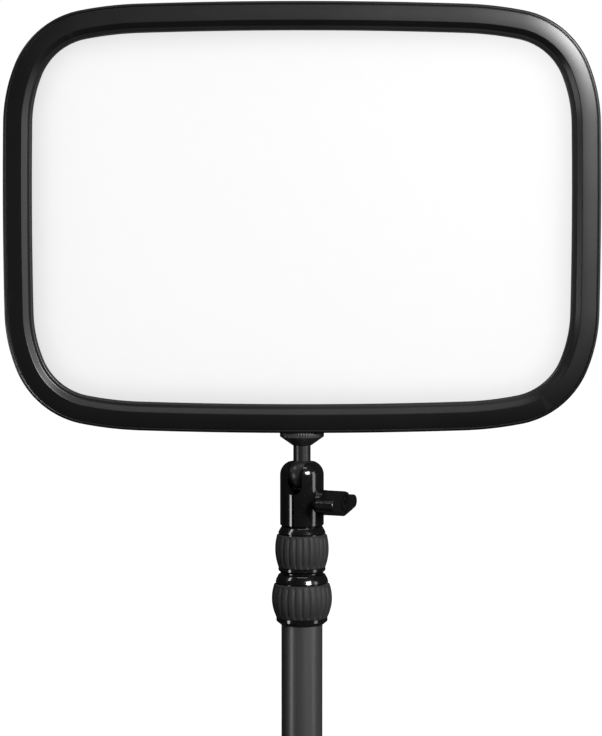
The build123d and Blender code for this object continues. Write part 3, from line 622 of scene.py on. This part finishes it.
@dataclass(frozen=True)
class LitOpal:
    """The opal sheet, lit from behind and dimmer towards its edge.

    Attributes:
        name: the finish's name.
        light: the piece's attribute that says how much light comes through.
        glow: strength of the light at the middle.
    """

    name: str
    light: str
    glow: float = 0.68

    def material(self) -> bpy.types.Material:
        """The glow follows the sheet's light attribute, with a very faint mottle."""
        tree = Tree(self.name)
        light = Signal(tree, tree.node("ShaderNodeAttribute", {"attribute_name": self.light}).outputs["Fac"])
        mottle = tree.noise(90.0, 2.0, 0.5)
        grain = tree.noise(2200.0, 2.0, 0.5)
        glow = light * (0.996 + mottle * 0.008)
        tint = tree.blend(glow.clamped(), (0.0, 0.0, 0.0), (1.0, 1.0, 1.0))
        body = tree.blend(mottle, (0.2, 0.2, 0.2), (0.185, 0.185, 0.187))
        return tree.shade(Base_Color=body, Roughness=(0.42 + grain * 0.1), Emission_Color=tint,
                          Emission_Strength=self.glow, Normal=tree.bump(grain, 0.000015, 0.4))


class Look(Enum):
    """The finishes that the light uses.

    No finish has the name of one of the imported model's own materials, which come in with the frame.
    """

    FRAME = SatinBlack("moulded_frame", 0.003, 0.31, 2200.0, 0.000008)
    COVER = SatinBlack("textured_cover", 0.010, 0.46, 1500.0, 0.00006)
    CAST = SatinBlack("powder_coat", 0.014, 0.46, 900.0, 0.00009, 0.1)
    DISC = SatinBlack("satin_disc", 0.02, 0.34, 1500.0, 0.00001)
    NYLON = SatinBlack("black_nylon", 0.016, 0.55, 1900.0, 0.00003)
    CHIPS = SatinBlack("moulded_chips", 0.02, 0.5, 1700.0, 0.00003)
    HEAD = GlossBlack("head_lacquer", 0.003, 0.12)
    GLOSS = GlossBlack("gloss_moulding", 0.003, 0.13, 220.0)
    RUBBER = Rubber("black_rubber")
    TUBE = DrawnTube("drawn_tube")
    TURNED = DrawnTube("turned_black", 0.012, 0.26)
    STEEL = BareMetal("zinc_steel", lathe=True)
    BLACK_STEEL = BareMetal("black_steel", (0.05, 0.05, 0.053), 0.36, True)
    PLATE = BareMetal("milled_plate", (0.72, 0.73, 0.74), 0.32)
    WHITE = PaleMoulding("reflector_white")
    BOARD = CircuitBoard("driver_mask")
    LED_BOARD = CircuitBoard("led_mask", (0.78, 0.78, 0.75))
    WARM = PaleMoulding("warm_phosphor", (0.85, 0.55, 0.16), 0.35)
    COOL = PaleMoulding("cool_phosphor", (0.86, 0.8, 0.35), 0.35)

    def material(self) -> bpy.types.Material:
        """The finish's material, made once."""
        found = bpy.data.materials.get(self.value.name)
        return found if found is not None else self.value.material()


# ------------------------------------------------------------------ the light's parts
class Assembly:
    """A sub-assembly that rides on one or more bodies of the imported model."""

    def add(self, made: bpy.types.Object, body: str, look: Any, stands_for: Sequence[str] = (),
            slot: str = "") -> bpy.types.Object:
        """Finishes a new piece.

        Args:
            made: the piece.
            body: the body that it rides on.
            look: its finish.
            stands_for: the CAD nodes that it replaces.
            slot: the record's material slot for the piece; it is not used.

        Returns:
            The piece.
        """
        made.data.materials.clear()
        made.data.materials.append(look.material())
        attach(made, body)
        if stands_for:
            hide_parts(*stands_for)
        log.info("%s rides on %s with %d faces", made.name, body, len(made.data.polygons))
        return made

    def dress(self, look: Any, *nodes: str) -> None:
        """Gives CAD nodes that stay a worked finish.

        Args:
            look: the finish.
            nodes: the nodes' names.
        """
        for node in nodes:
            shown = frame["nodes"][node]
            shown.data.materials.clear()
            shown.data.materials.append(look.material())

    def smooth(self, look: Any, *nodes: str, sharp_above: float = 32.0) -> None:
        """Replaces CAD nodes with smoothly shaded copies on the same bodies.

        Args:
            look: the copies' finish.
            nodes: the nodes' names.
            sharp_above: edges that bend by more than this many degrees stay sharp.
        """
        slots = {entry["node"]: entry["material_slot"] for entry in frame["record"]["subparts"]}
        for node in nodes:
            body = frame["nodes"][node]["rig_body"]
            copy = smooth_copy(node, f"{node}_skin", sharp_above)
            self.add(copy, body, look, [node], slots[node])


@dataclass
class Outline:
    """The panel's rounded outline: five tangent arcs in each quarter.

    Attributes:
        half_width: from the middle to the side, in metres.
        half_height: from the middle to the top.
        side_sweep: degrees turned by the shallow arc of the side.
        arcs: (radius, sweep in degrees) of the shoulder, the corner and the upper shoulder.
        counts: points on each of the five arcs.
    """

    half_width: float
    half_height: float
    side_sweep: float = 1.05
    arcs: tuple = ((0.094, 21.3), (0.052, 56.5), (0.212, 9.3))
    counts: tuple = (7, 12, 30, 9, 9)

    def quarter(self) -> tuple[np.ndarray, np.ndarray]:
        """Points and outward normals from the middle of the side to the middle of the top.

        On an arc of radius R the point moves by R (cos u - cos t, sin u - sin t) as its normal
        turns from the angle t to u. The two shallow radii follow from the closure.
        """
        sweeps = [self.side_sweep, *[sweep for _, sweep in self.arcs]]
        sweeps.append(90.0 - sum(sweeps))
        turns = np.radians(np.concatenate([[0.0], np.cumsum(sweeps)]))
        step_x, step_y = np.diff(np.cos(turns)), np.diff(np.sin(turns))
        middle = np.array([radius for radius, _ in self.arcs])
        rest = np.array([-self.half_width - middle @ step_x[1:4], self.half_height - middle @ step_y[1:4]])
        ends = np.linalg.solve(np.array([[step_x[0], step_x[4]], [step_y[0], step_y[4]]]), rest)
        radii = np.array([ends[0], *middle, ends[1]])
        angles = np.concatenate([np.linspace(turns[k], turns[k + 1], count, endpoint=k == 4)
                                 for k, count in enumerate(self.counts)])
        owner = np.repeat(np.arange(5), self.counts)
        starts = np.concatenate([[[self.half_width, 0.0]],
                                 np.array([self.half_width, 0.0])
                                 + np.cumsum(radii[:, None] * np.stack([step_x, step_y], -1), 0)[:4]])
        normals = np.stack([np.cos(angles), np.sin(angles)], -1)
        origin = np.stack([np.cos(turns[owner]), np.sin(turns[owner])], -1)
        return starts[owner] + radii[owner, None] * (normals - origin), normals

    def loop(self) -> tuple[np.ndarray, np.ndarray]:
        """The whole outline's points and normals, with no point twice."""
        points, normals = self.quarter()
        left = np.array([-1.0, 1.0])
        top_points = np.concatenate([points, points[-2::-1] * left])
        top_normals = np.concatenate([normals, normals[-2::-1] * left])
        return (np.concatenate([top_points, top_points[-2:0:-1] * -left]),
                np.concatenate([top_normals, top_normals[-2:0:-1] * -left]))

    def carry(self, profile: np.ndarray, centre: Sequence[float]) -> np.ndarray:
        """Carries a profile of (inset, depth) round the outline.

        A point is P - inset * N in the panel's plane, at its depth along Y.

        Args:
            profile: pairs of inset from the outline and depth.
            centre: the panel's middle.

        Returns:
            Points with one row for each pair and one column for each point of the outline.
        """
        points, normals = self.loop()
        flat = points[None] - profile[:, :1, None] * normals[None]
        depth = np.broadcast_to(profile[:, 1:2], flat.shape[:2])
        return np.stack([centre[0] + flat[..., 0], depth, centre[2] + flat[..., 1]], -1)


@dataclass
class Panel(Assembly):
    """The flat lamp: frame, opal sheet, cover and what they hold.

    Attributes:
        frame_deep: depth of the frame from its front, in millimetres.
        wall: thickness of its outer wall, in millimetres.
        crest: inset of its foremost line from the outer edge, in millimetres.
        sheet_back: how far the sheet's face stands behind the front.
        opening: inset of the lit opening from the outer edge.
        sheet_inset: inset of the sheet's own edge, under the frame.
        sheet_thick: thickness of the sheet.
        edge_loss: shares of the light lost at the opening's edge: near it, further in, and over a
            wide band.
        loss_reach: how far in each of them goes, in millimetres.
    """

    frame_deep: float = 12.0
    wall: float = 2.5
    crest: float = 11.1
    sheet_back: float = 3.6 * MM
    opening: float = 17.15 * MM
    sheet_inset: float = 14.0 * MM
    sheet_thick: float = 2.0 * MM
    edge_loss: tuple[float, float, float] = (0.03, 0.17, 0.07)
    loss_reach: tuple[float, float, float] = (3.0, 9.0, 18.0)

    def __post_init__(self) -> None:
        """Reads the front face's depth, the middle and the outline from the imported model."""
        low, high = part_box("front_bezel")
        self.front = low.y
        self.centre = ((low.x + high.x) / 2, 0.0, (low.z + high.z) / 2)
        self.outline = Outline((high.x - low.x) / 2, (high.z - low.z) / 2)

    def build_frame(self) -> None:
        """The front frame: edge, groove, sloped band, inner bevel and lip."""
        deep, wall, sheet, mouth = self.frame_deep, self.wall, self.sheet_back / MM, self.opening / MM
        edge = [(0.0, deep), (0.0, 2.3), (0.35, 1.75), (1.15, 1.4)]
        groove = [(1.45, 1.45), (1.55, 1.85), (2.0, 1.85), (2.15, 1.25)]
        band = [(self.crest, 0.0), (mouth - 3.0, 2.15), (mouth - 1.25, 2.2), (mouth, sheet)]
        inside = [(9.0, sheet), (wall, sheet), (wall, deep)]
        corners = np.array([*edge, *groove, *band, *inside]) * MM
        profile = soften(corners, 0.28 * MM) + np.array([0.0, self.front])
        grid = self.outline.carry(profile, self.centre)
        grid[..., 0] = np.clip(grid[..., 0], CAD_BOX[0].x, CAD_BOX[1].x)
        made = mesh_from_grid("front_frame", grid, ring=True)
        self.add(made, "panel", Look.FRAME, ["front_bezel"], "frame_black")

    def through(self, points: np.ndarray) -> np.ndarray:
        """How much light comes through the sheet at each point, from 0 to 1.

        With d the distance to the rounded opening and g that to each of its four sides, the light
        is 1 - near exp(-d / r) - far exp(-(d / s)^2), times the product of (1 - wide exp(-g / w))
        over the sides. The reaches r, s and w are loss_reach.

        Args:
            points: places on the sheet, in metres.

        Returns:
            One share of light for each point.
        """
        near, far, wide = self.edge_loss
        near_reach, far_reach, wide_reach = self.loss_reach
        middle = np.array([self.centre[0], self.centre[2]])
        place = points[:, [0, 2]]
        half = np.array([self.outline.half_width, self.outline.half_height]) - self.opening
        gap = np.clip(half - np.abs(place - middle), 0, None) / MM
        rim = self.outline.carry(np.array([[self.opening, 0.0]]), self.centre)[0][:, [0, 2]]
        run = np.roll(rim, -1, 0) - rim
        away = place[:, None] - rim
        along = np.clip((away * run).sum(-1) / (run * run).sum(-1), 0, 1)
        d = np.linalg.norm(away - along[..., None] * run, axis=-1).min(axis=1) / MM
        d = np.where((gap > 0).any(axis=1), d, 0.0)
        side = (1 - wide * np.exp(-gap / wide_reach)).prod(axis=1)
        return side * (1 - near * np.exp(-d / near_reach) - far * np.exp(-((d / far_reach) ** 2)))

    def build_sheet(self) -> None:
        """The opal sheet: rings carried inwards from its edge, then shrunk to the middle."""
        face, inset = self.front + self.sheet_back, self.sheet_inset
        rear = face + self.sheet_thick
        insets = self.opening + np.array([30.0, 24, 19, 15, 11.5, 8.5, 6, 4, 2.5, 1.3, 0.4, -1.0]) * MM
        front = np.stack([insets, np.full_like(insets, face)], -1)
        cut = 0.2 * MM
        edge = [(inset + cut, face), (inset, face + cut), (inset, rear - cut), (inset + cut, rear)]
        rim = self.outline.carry(np.concatenate([front, edge]), self.centre)
        middle = np.array([self.centre[0], 0.0, self.centre[2]])
        flat = np.array([1.0, 0.0, 1.0])
        share = np.linspace(0.0, 1.0, 12, endpoint=False)[1:, None, None]
        inner = middle + (rim[0] - middle) * share * flat + rim[0] * (1 - flat)
        back = middle + (rim[-1] - middle) * share[::-1] * flat + rim[-1] * (1 - flat)
        made = mesh_from_grid("opal_sheet", np.concatenate([inner, rim, back]), caps=True)
        places = np.empty(len(made.data.vertices) * 3)
        made.data.vertices.foreach_get("co", places)
        light = made.data.attributes.new("through_light", "FLOAT", "POINT")
        light.data.foreach_set("value", self.through(places.reshape(-1, 3)))
        self.add(made, "panel", LitOpal("lit_opal", light.name), ["diffuser"], "opal")

    def build(self) -> None:
        """Builds the panel's skins and dresses what it holds."""
        self.build_frame()
        self.build_sheet()
        self.smooth(Look.COVER, "back_cover", sharp_above=25.0)
        self.smooth(Look.GLOSS, "power_button", "dc_jack")
        self.smooth(Look.TURNED, "mount_block")
        self.smooth(Look.BLACK_STEEL, "cover_screws")
        self.dress(Look.WHITE, "reflector_frame")
        self.dress(Look.LED_BOARD, "led_board")
        self.dress(Look.WARM, "warm_leds")
        self.dress(Look.COOL, "cool_leds")
        self.dress(Look.PLATE, "heat_spreader")
        self.dress(Look.BOARD, "driver_board")
        self.dress(Look.CHIPS, "driver_parts", "button_switch")
        self.dress(Look.STEEL, "board_screws", "spreader_screws", "driver_standoffs", "driver_screws",
                   "mount_screws")


@dataclass
class TwistLock(Assembly):
    """One twist lock: ferrule, collar with its domed top, and ribbed rubber grip.

    Attributes:
        side: "lower" or "upper".
        body: the body of the turning collar.
        radii: the grip's radius at the bottom, the bulge and the top, in millimetres.
        bulge_share: the bulge's place up the grip, from 0 to 1.
        ribs: ribs round the grip.
        rib_depth: depth of the hollows between them.
    """

    side: str
    body: str
    radii: tuple[float, float, float]
    bulge_share: float
    ribs: int = 24
    rib_depth: float = 0.75 * MM

    def grip(self) -> None:
        """The rubber sleeve.

        The radius is a bulged curve of the height less a hollow between ribs. The hollow is
        depth * (0.5 + 0.5 cos(n a))^3, and it fades out towards both ends.
        """
        low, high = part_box(f"{self.side}_lock_grip")
        bottom, _, top = self.radii
        height = np.linspace(0.0, 1.0, 40)
        curve = np.polyfit([0.0, self.bulge_share, 1.0], self.radii, 2)
        radius = np.polyval(curve, height) * MM
        angle = full_turn(self.ribs * 12)
        fade = np.clip(np.minimum(height, 1 - height) / 0.1, 0, 1) ** 0.6
        hollow = (0.5 + 0.5 * np.cos(self.ribs * angle)) ** 3
        skin = radius[:, None] - self.rib_depth * fade[:, None] * hollow[None]
        level = low.z + (high.z - low.z) * (0.02 + 0.96 * height)
        inner = (min(self.radii) - 0.75) * MM
        ends = np.array([[inner, low.z], [bottom * MM - 0.4 * MM, low.z]])
        tops = np.array([[top * MM - 0.5 * MM, high.z], [inner, high.z]])
        rows = [turned(ends, len(angle)), around(skin, level[:, None], angle), turned(tops, len(angle))]
        made = mesh_from_grid(f"{self.side}_rubber_grip", np.concatenate(rows), ring=True)
        self.add(made, self.body, Look.RUBBER, [f"{self.side}_lock_grip"], "rubber_black")

    def build(self) -> None:
        """Builds the lock."""
        self.grip()
        self.smooth(Look.GLOSS, f"{self.side}_lock_collar", f"{self.side}_lock_ferrule")
        self.smooth(Look.NYLON, f"{self.side}_lock_collet")


@dataclass
class Pole(Assembly):
    """Three tubes with their bushes and two twist locks."""

    lower: TwistLock = field(default_factory=lambda: TwistLock(
        "lower", "lower_collar", (15.35, 17.95, 16.55), 0.5))
    upper: TwistLock = field(default_factory=lambda: TwistLock(
        "upper", "upper_collar", (14.1, 16.0, 14.9), 0.55))

    def build(self) -> None:
        """Builds the pole."""
        self.smooth(Look.TUBE, "base_tube", "mid_tube", "top_tube")
        self.smooth(Look.NYLON, "mid_bush", "top_bush")
        self.lower.build()
        self.upper.build()


@dataclass
class Head(Assembly):
    """The slotted ball head, its knob and the lock disc under the panel.

    Attributes:
        teeth: knurl ridges round the lock disc's rim.
        knurl: depth of the knurl.
        stem: radius of the stem over the ball.
        crest: radius of the stud's thread at its crest.
        thread_deep: depth of that thread.
        pitch: its pitch.
    """

    teeth: int = 52
    knurl: float = 0.2 * MM
    stem: float = 5.15 * MM
    crest: float = 3.1 * MM
    thread_deep: float = 0.45 * MM
    pitch: float = 1.27 * MM

    def disc(self) -> None:
        """The lock disc: a cone with a straight-knurled rim.

        On the rim the radius is less by knurl * (0.5 + 0.5 cos(n a))^1.5, and elsewhere it is plain.
        """
        low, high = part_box("lock_disc")
        outer = (high.x - low.x) / 2
        thick = high.z - low.z
        stem_hole, thread_hole, rim_wide = 5.25 * MM, 3.2 * MM, 0.6 * MM
        seat = thick - 0.95 * MM
        cone = [(stem_hole, 0.0), (stem_hole + 0.45 * MM, 0.0), (outer - 0.9 * MM, thick * 0.56)]
        rim = [(outer - 0.1 * MM, thick * 0.62), (outer, thick * 0.7), (outer, thick * 0.93),
               (outer - 0.5 * MM, thick)]
        top = [(outer - 1.4 * MM, thick), (outer - 1.45 * MM, seat), (thread_hole, seat)]
        hole = [(thread_hole, 2.0 * MM), (stem_hole, 2.0 * MM)]
        profile = soften([*cone, *rim, *top, *hole], 0.18 * MM, 3)
        angle = full_turn(self.teeth * 8)
        on_rim = np.clip((profile[:, 0] - (outer - rim_wide)) / rim_wide, 0, 1)
        cut = self.knurl * on_rim[:, None] * (0.5 + 0.5 * np.cos(self.teeth * angle)) ** 1.5
        grid = around(profile[:, :1] - cut, profile[:, 1:] + low.z, angle)
        made = mesh_from_grid("knurled_lock_disc", grid, ring=True)
        self.add(made, "lock_disc", Look.DISC, ["lock_disc"], "satin_black")

    def stud(self) -> None:
        """The ball, stem and threaded stud as one turned surface."""
        low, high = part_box("ball_stud")
        radius = (high.x - low.x) / 2
        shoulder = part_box("lock_disc")[0].z + 0.5 * MM
        swing = np.linspace(-math.pi / 2, math.acos(self.stem / radius), 40)[1:]
        ball = np.stack([radius * np.cos(swing), low.z + radius + radius * np.sin(swing)], -1)
        steps, chamfer = 48, 0.4 * MM
        level = np.linspace(shoulder + 0.2 * MM, high.z - 0.6 * MM, 64)
        wave = thread_wave(level, self.pitch, np.arange(steps) / steps)
        screw = around(self.crest - self.thread_deep * wave, level[:, None], full_turn(steps))
        step = [(self.stem, shoulder - chamfer), (self.stem - chamfer, shoulder), (self.crest, shoulder)]
        tip = np.array([(2.2 * MM, high.z)])
        grid = np.concatenate([turned(np.concatenate([ball, step]), steps), screw, turned(tip, steps)])
        made = mesh_from_grid("ball_and_stem", grid, caps=True)
        self.add(made, "ball_stud", Look.TURNED, ["ball_stud"], "gloss_black")

    def build(self) -> None:
        """Builds the head."""
        self.disc()
        self.stud()
        self.smooth(Look.HEAD, "head_housing")
        self.smooth(Look.GLOSS, "wing_knob")
        self.smooth(Look.STEEL, "knob_nut", "knob_washer", "knob_screw")
        self.smooth(Look.PLATE, "head_spigot")
        self.smooth(Look.NYLON, "ball_seat")
        self.smooth(Look.RUBBER, "rubber_ring")


@dataclass
class DeskClamp(Assembly):
    """The clamp: frame, pads, foot, screw and hand knob.

    Attributes:
        pitch: the screw's pitch.
        crest: radius of the thread's crest.
        depth: depth of the thread.
    """

    pitch: float = 3.0 * MM
    crest: float = 5.95 * MM
    depth: float = 1.3 * MM

    def screw(self) -> None:
        """The clamp's screw.

        The thread's radius is crest - depth * f(s), where s is height / pitch - angle share and f
        is a trapezium wave. A turned neck stands on top and a plain end goes into the knob.
        """
        low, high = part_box("clamp_screw")
        steps = 40
        top, bottom = high.z - 8.8 * MM, low.z + 15.0 * MM
        level = np.linspace(bottom, top, int((top - bottom) / self.pitch * 10))
        wave = thread_wave(level, self.pitch, np.arange(steps) / steps)
        radius = self.crest - self.depth * np.clip(wave * 2 - 0.5, 0, 1)
        thread = around(radius, level[:, None], full_turn(steps))
        plain, head, waist, head_low = 5.0 * MM, 4.6 * MM, 3.6 * MM, high.z - 3.0 * MM
        end = [(plain - 0.8 * MM, low.z), (plain, low.z + 0.8 * MM), (plain, bottom - 0.2 * MM)]
        neck = [(head, top + 0.2 * MM), (waist, top + 1.0 * MM), (waist, head_low), (head, head_low),
                (head, high.z - 0.5 * MM), (head - 0.5 * MM, high.z)]
        grid = np.concatenate([turned(np.array(end), steps), thread, turned(np.array(neck), steps)])
        made = mesh_from_grid("clamp_spindle", grid, caps=True)
        self.add(made, "clamp_screw", Look.STEEL, ["clamp_screw"], "steel")

    def build(self) -> None:
        """Builds the clamp."""
        self.screw()
        self.smooth(Look.CAST, "clamp_frame", sharp_above=25.0)
        self.smooth(Look.TURNED, "pole_foot")
        self.smooth(Look.GLOSS, "clamp_handle")
        self.smooth(Look.RUBBER, "jaw_pad", "swivel_rubber")
        self.smooth(Look.BLACK_STEEL, "swivel_pad", "foot_screws", "pole_bolt")


# ------------------------------------------------------------------ studio
@dataclass(frozen=True)
class Softbox:
    """A rectangular area light.

    Attributes:
        name: its name.
        side: its direction from the point it faces, in degrees to the right of the camera's side.
        up: its direction above the level, in degrees.
        away: its distance from that point, in metres.
        size: its width and height.
        watts: its power.
    """

    name: str
    side: float
    up: float
    away: float
    size: tuple[float, float]
    watts: float

    def place(self, aim: Vector) -> None:
        """Sets the light up.

        Args:
            aim: the point that it faces.
        """
        lamp = bpy.data.lights.new(self.name, "AREA")
        lamp.shape, lamp.energy = "RECTANGLE", self.watts
        lamp.size, lamp.size_y = self.size
        made = bpy.data.objects.new(self.name, lamp)
        across, rise = math.radians(self.side), math.radians(self.up)
        way = Vector((math.sin(across) * math.cos(rise), -math.cos(across) * math.cos(rise), math.sin(rise)))
        made.location = aim + way * self.away
        made.rotation_euler = (-way).to_track_quat("-Z", "Y").to_euler()
        bpy.context.scene.collection.objects.link(made)


LIGHTS = (
    Softbox("key", 31, 22, 3.0, (0.95, 0.95), 128.0),
    Softbox("right_wall", 66, 4, 2.6, (0.7, 1.8), 14.0),
    Softbox("overhead", 5, 68, 2.0, (1.4, 0.5), 6.0),
    Softbox("left_strip", -69, 38, 2.4, (0.3, 0.9), 8.0),
    Softbox("left_low", -62, -12, 2.4, (0.4, 0.8), 9.0),
)


@dataclass
class Studio:
    """A pale floor, soft lights and the camera.

    Attributes:
        distance: from the camera to the panel, in metres.
        lens: focal length for a 36 mm sensor along the long side.
        pitch: how far the camera looks down, in degrees.
        aim_drop: how far below the panel's middle the camera points, in degrees.
        turn: how far the camera is turned to the left, in degrees.
        floor_radius: of the floor's disc.
        floor_glow: light that the floor gives by itself, so that it shows as white.
        backdrop: brightness of the surround as the camera sees it.
        fill: brightness of the surround as a light.
        light_drop: how far below the panel's middle the lights point.
    """

    distance: float = 1.70
    lens: float = 142.15
    pitch: float = 4.2
    aim_drop: float = 2.95
    turn: float = 0.0187
    floor_radius: float = 9.0
    floor_glow: float = 1.0
    backdrop: float = 1.0
    fill: float = 0.025
    light_drop: float = 0.08

    def world(self) -> None:
        """A white surround that shows at full strength and lights softly."""
        world = bpy.data.worlds.new("studio_white")
        bpy.context.scene.world = world
        world.use_nodes = True
        nodes, links = world.node_tree.nodes, world.node_tree.links
        ground = nodes["Background"]
        ground.inputs["Color"].default_value = (1, 1, 1, 1)
        seen = nodes.new("ShaderNodeLightPath")
        mix = nodes.new("ShaderNodeMix")
        mix.inputs[2].default_value, mix.inputs[3].default_value = self.fill, self.backdrop
        links.new(seen.outputs["Is Camera Ray"], mix.inputs[0])
        links.new(mix.outputs[0], ground.inputs["Strength"])

    def floor(self) -> None:
        """A wide pale disc under the clamp."""
        top = CAD_BOX[0].z - 0.5 * MM
        disc = np.array([(self.floor_radius, top - 10.0 * MM), (self.floor_radius, top)])
        made = mesh_from_grid("studio_floor", turned(disc, 96), caps=True)
        tree = Tree("studio_floor")
        grain = tree.noise(40.0, 3.0, 0.6)
        made.data.materials.append(tree.shade(
            Base_Color=tree.blend(grain, (0.86, 0.86, 0.86), (0.84, 0.84, 0.84)), Roughness=0.7,
            Emission_Color=(1, 1, 1, 1), Emission_Strength=self.floor_glow))
        made.visible_diffuse = made.visible_glossy = False

    def camera(self, panel: Panel) -> None:
        """The camera, a little above the panel's middle, looking slightly down.

        Args:
            panel: the lamp that it looks at.
        """
        view = bpy.data.cameras.new("camera")
        view.sensor_width, view.lens = 36.0, self.lens
        made = bpy.data.objects.new("camera", view)
        down = math.radians(self.pitch - self.aim_drop)
        target = Vector((panel.centre[0], panel.front, panel.centre[2]))
        made.location = target + Vector((0, -math.cos(down), math.sin(down))) * self.distance
        made.rotation_euler = (math.radians(90 - self.pitch), 0, math.radians(self.turn))
        bpy.context.scene.collection.objects.link(made)
        bpy.context.scene.camera = made

    def build(self, panel: Panel) -> None:
        """Builds the studio.

        Args:
            panel: the lamp that the lights and the camera face.
        """
        bpy.context.scene.view_settings.view_transform = "Standard"
        self.world()
        self.floor()
        aim = Vector(panel.centre) - Vector((0, 0, self.light_drop))
        for softbox in LIGHTS:
            softbox.place(aim)
        self.camera(panel)


def main() -> None:
    """Builds the light in order and the studio round it."""
    logging.basicConfig(level=logging.INFO, format="%(message)s")
    panel = Panel()
    parts = [panel, Head(), Pole(), DeskClamp()]
    for part in parts:
        part.build()
        log.info("built %s", type(part).__name__)
    Studio().build(panel)


if __name__ == "__main__":
    main()
